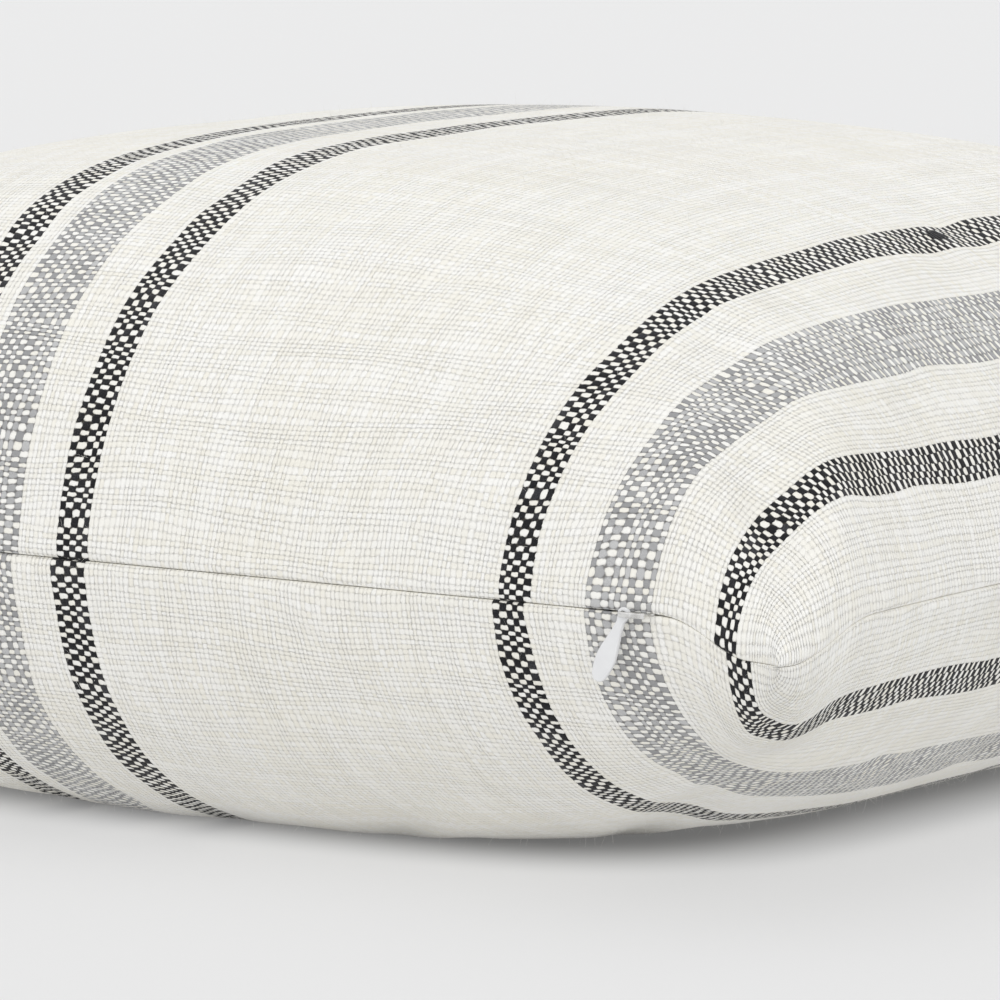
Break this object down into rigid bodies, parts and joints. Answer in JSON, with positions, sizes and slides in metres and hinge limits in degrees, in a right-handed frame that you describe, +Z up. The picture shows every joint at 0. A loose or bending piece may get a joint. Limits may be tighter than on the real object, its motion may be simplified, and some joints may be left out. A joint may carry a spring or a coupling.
{
  "type": "throw pillow",
  "caption": "Square plump throw pillow lying flat, woven cover with woven-in stripes and a concealed zip with a hanging pull tab along one edge.",
  "frame": {"origin": "on the resting plane, under the middle of the pillow's bounding box", "axes": "+Z up, X along the zip edge with the zip closed at +X, the zip edge facing -Y"},
  "size_m": [0.4396, 0.4315, 0.1761],
  "materials": {
    "cover_cloth": "matt woven slub cotton, ivory with black and grey warp stripes",
    "seam_thread": "matt overlocked edge",
    "zip_tape": "matt woven polyester tape",
    "zip_coil": "satin nylon",
    "zip_metal": "polished nickel",
    "pull_white": "glossy white",
    "insert_casing": "matt non-woven",
    "insert_fibre": "soft fibre"
  },
  "bodies": {
    "pillow": {"cover_top_panel": "cover_cloth", "cover_bottom_panel": "cover_cloth", "seam_allowance_right": "seam_thread", "seam_allowance_left": "seam_thread", "seam_allowance_back": "seam_thread", "zip_tape_upper": "zip_tape", "zip_tape_lower": "zip_tape", "zip_coil_upper": "zip_coil", "zip_coil_lower": "zip_coil", "zip_top_stop_upper": "zip_metal", "zip_top_stop_lower": "zip_metal", "zip_bottom_stop": "zip_metal", "insert_casing_top": "insert_casing", "insert_casing_bottom": "insert_casing", "insert_fill": "insert_fibre"},
    "slider": {"zip_slider": "zip_metal"},
    "pull_tab": {"zip_pull_tab": "pull_white"}
  },
  "joints": [
    {"name": "zip_slide", "type": "slide", "parent": "pillow", "child": "slider", "axis": [1, 0, 0], "range_m": [-0.33, 0]},
    {"name": "tab_swing", "type": "hinge", "parent": "slider", "child": "pull_tab", "pos_m": [0.1695, -0.2092, 0.0775], "axis": [0, -1, 0], "range_deg": [-66, 74]}
  ]
}
